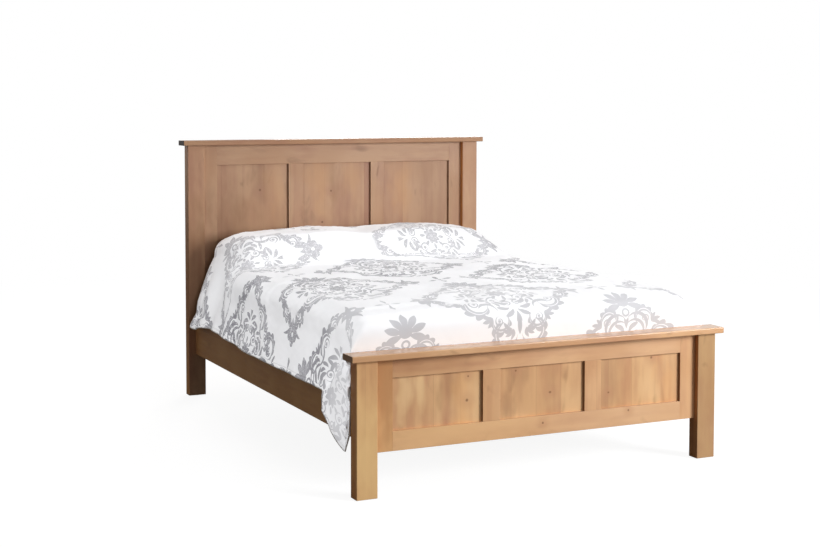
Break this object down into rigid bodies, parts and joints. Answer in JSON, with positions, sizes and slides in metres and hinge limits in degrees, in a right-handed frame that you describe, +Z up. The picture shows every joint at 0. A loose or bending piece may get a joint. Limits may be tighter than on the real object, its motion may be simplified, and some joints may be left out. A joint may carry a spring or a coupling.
{
  "type": "bed",
  "caption": "Queen panel bed with a tall headboard, a low footboard, side rails on hooks, slats and centre legs, made up with a printed comforter over pillows.",
  "frame": {"origin": "on the floor, in the middle of the bed's outline", "axes": "+X across the bed, to the right as seen from the foot; +Y along the bed towards the headboard; +Z up"},
  "size_m": [1.712, 2.234, 1.308],
  "materials": {
    "post_wood": "satin lacquer over brown stain",
    "cap_wood": "satin lacquer over brown stain",
    "frame_wood": "satin lacquer over brown stain",
    "panel_wood": "satin lacquer over brown stain",
    "rail_wood": "satin lacquer over brown stain",
    "dowel_wood": "plain",
    "cleat_wood": "plain",
    "slat_wood": "planed, unfinished",
    "leg_wood": "planed, unfinished",
    "fitting_steel": "zinc plated",
    "screw_steel": "zinc plated",
    "foot_steel": "zinc plated",
    "glide_plastic": "moulded",
    "foundation_fabric": "woven cover",
    "mattress_fabric": "quilted cover",
    "pillow_fabric": "cotton cover",
    "comforter_fabric": "printed cotton cover"
  },
  "bodies": {
    "bed": {"head_post_left": "post_wood", "head_post_right": "post_wood", "head_cap": "cap_wood", "head_top_rail": "frame_wood", "head_bottom_rail": "frame_wood", "head_stile_left": "frame_wood", "head_stile_right": "frame_wood", "head_mullion_left": "frame_wood", "head_mullion_right": "frame_wood", "head_panel_left": "panel_wood", "head_panel_middle": "panel_wood", "head_panel_right": "panel_wood", "head_cap_dowels": "dowel_wood", "foot_post_left": "post_wood", "foot_post_right": "post_wood", "foot_cap": "cap_wood", "foot_top_rail": "frame_wood", "foot_bottom_rail": "frame_wood", "foot_stile_left": "frame_wood", "foot_stile_right": "frame_wood", "foot_mullion_left": "frame_wood", "foot_mullion_right": "frame_wood", "foot_panel_left": "panel_wood", "foot_panel_middle": "panel_wood", "foot_panel_right": "panel_wood", "foot_cap_dowels": "dowel_wood", "side_rail_left": "rail_wood", "side_rail_right": "rail_wood", "cleat_left": "cleat_wood", "cleat_right": "cleat_wood", "rail_hook_plates": "fitting_steel", "post_slot_plates": "fitting_steel", "plate_screws": "screw_steel", "cleat_screws": "screw_steel", "slat_screws": "screw_steel", "leg_screws": "screw_steel", "slat_1": "slat_wood", "slat_2": "slat_wood", "slat_3": "slat_wood", "slat_4": "slat_wood", "slat_5": "slat_wood", "centre_leg_foot_end": "leg_wood", "centre_leg_middle": "leg_wood", "centre_leg_head_end": "leg_wood", "leg_inserts": "fitting_steel", "post_glides": "glide_plastic", "foundation": "foundation_fabric", "mattress": "mattress_fabric", "pillow_left": "pillow_fabric", "pillow_right": "pillow_fabric", "comforter": "comforter_fabric"},
    "levelling_foot_foot_end": {"levelling_foot_foot_end": "foot_steel"},
    "levelling_foot_middle": {"levelling_foot_middle": "foot_steel"},
    "levelling_foot_head_end": {"levelling_foot_head_end": "foot_steel"}
  },
  "joints": [
    {"name": "screw_levelling_foot_foot_end", "type": "slide", "parent": "bed", "child": "levelling_foot_foot_end", "axis": [0, 0, 1], "range_m": [-0.02, 0]},
    {"name": "screw_levelling_foot_middle", "type": "slide", "parent": "bed", "child": "levelling_foot_middle", "axis": [0, 0, 1], "range_m": [-0.02, 0]},
    {"name": "screw_levelling_foot_head_end", "type": "slide", "parent": "bed", "child": "levelling_foot_head_end", "axis": [0, 0, 1], "range_m": [-0.02, 0]}
  ]
}
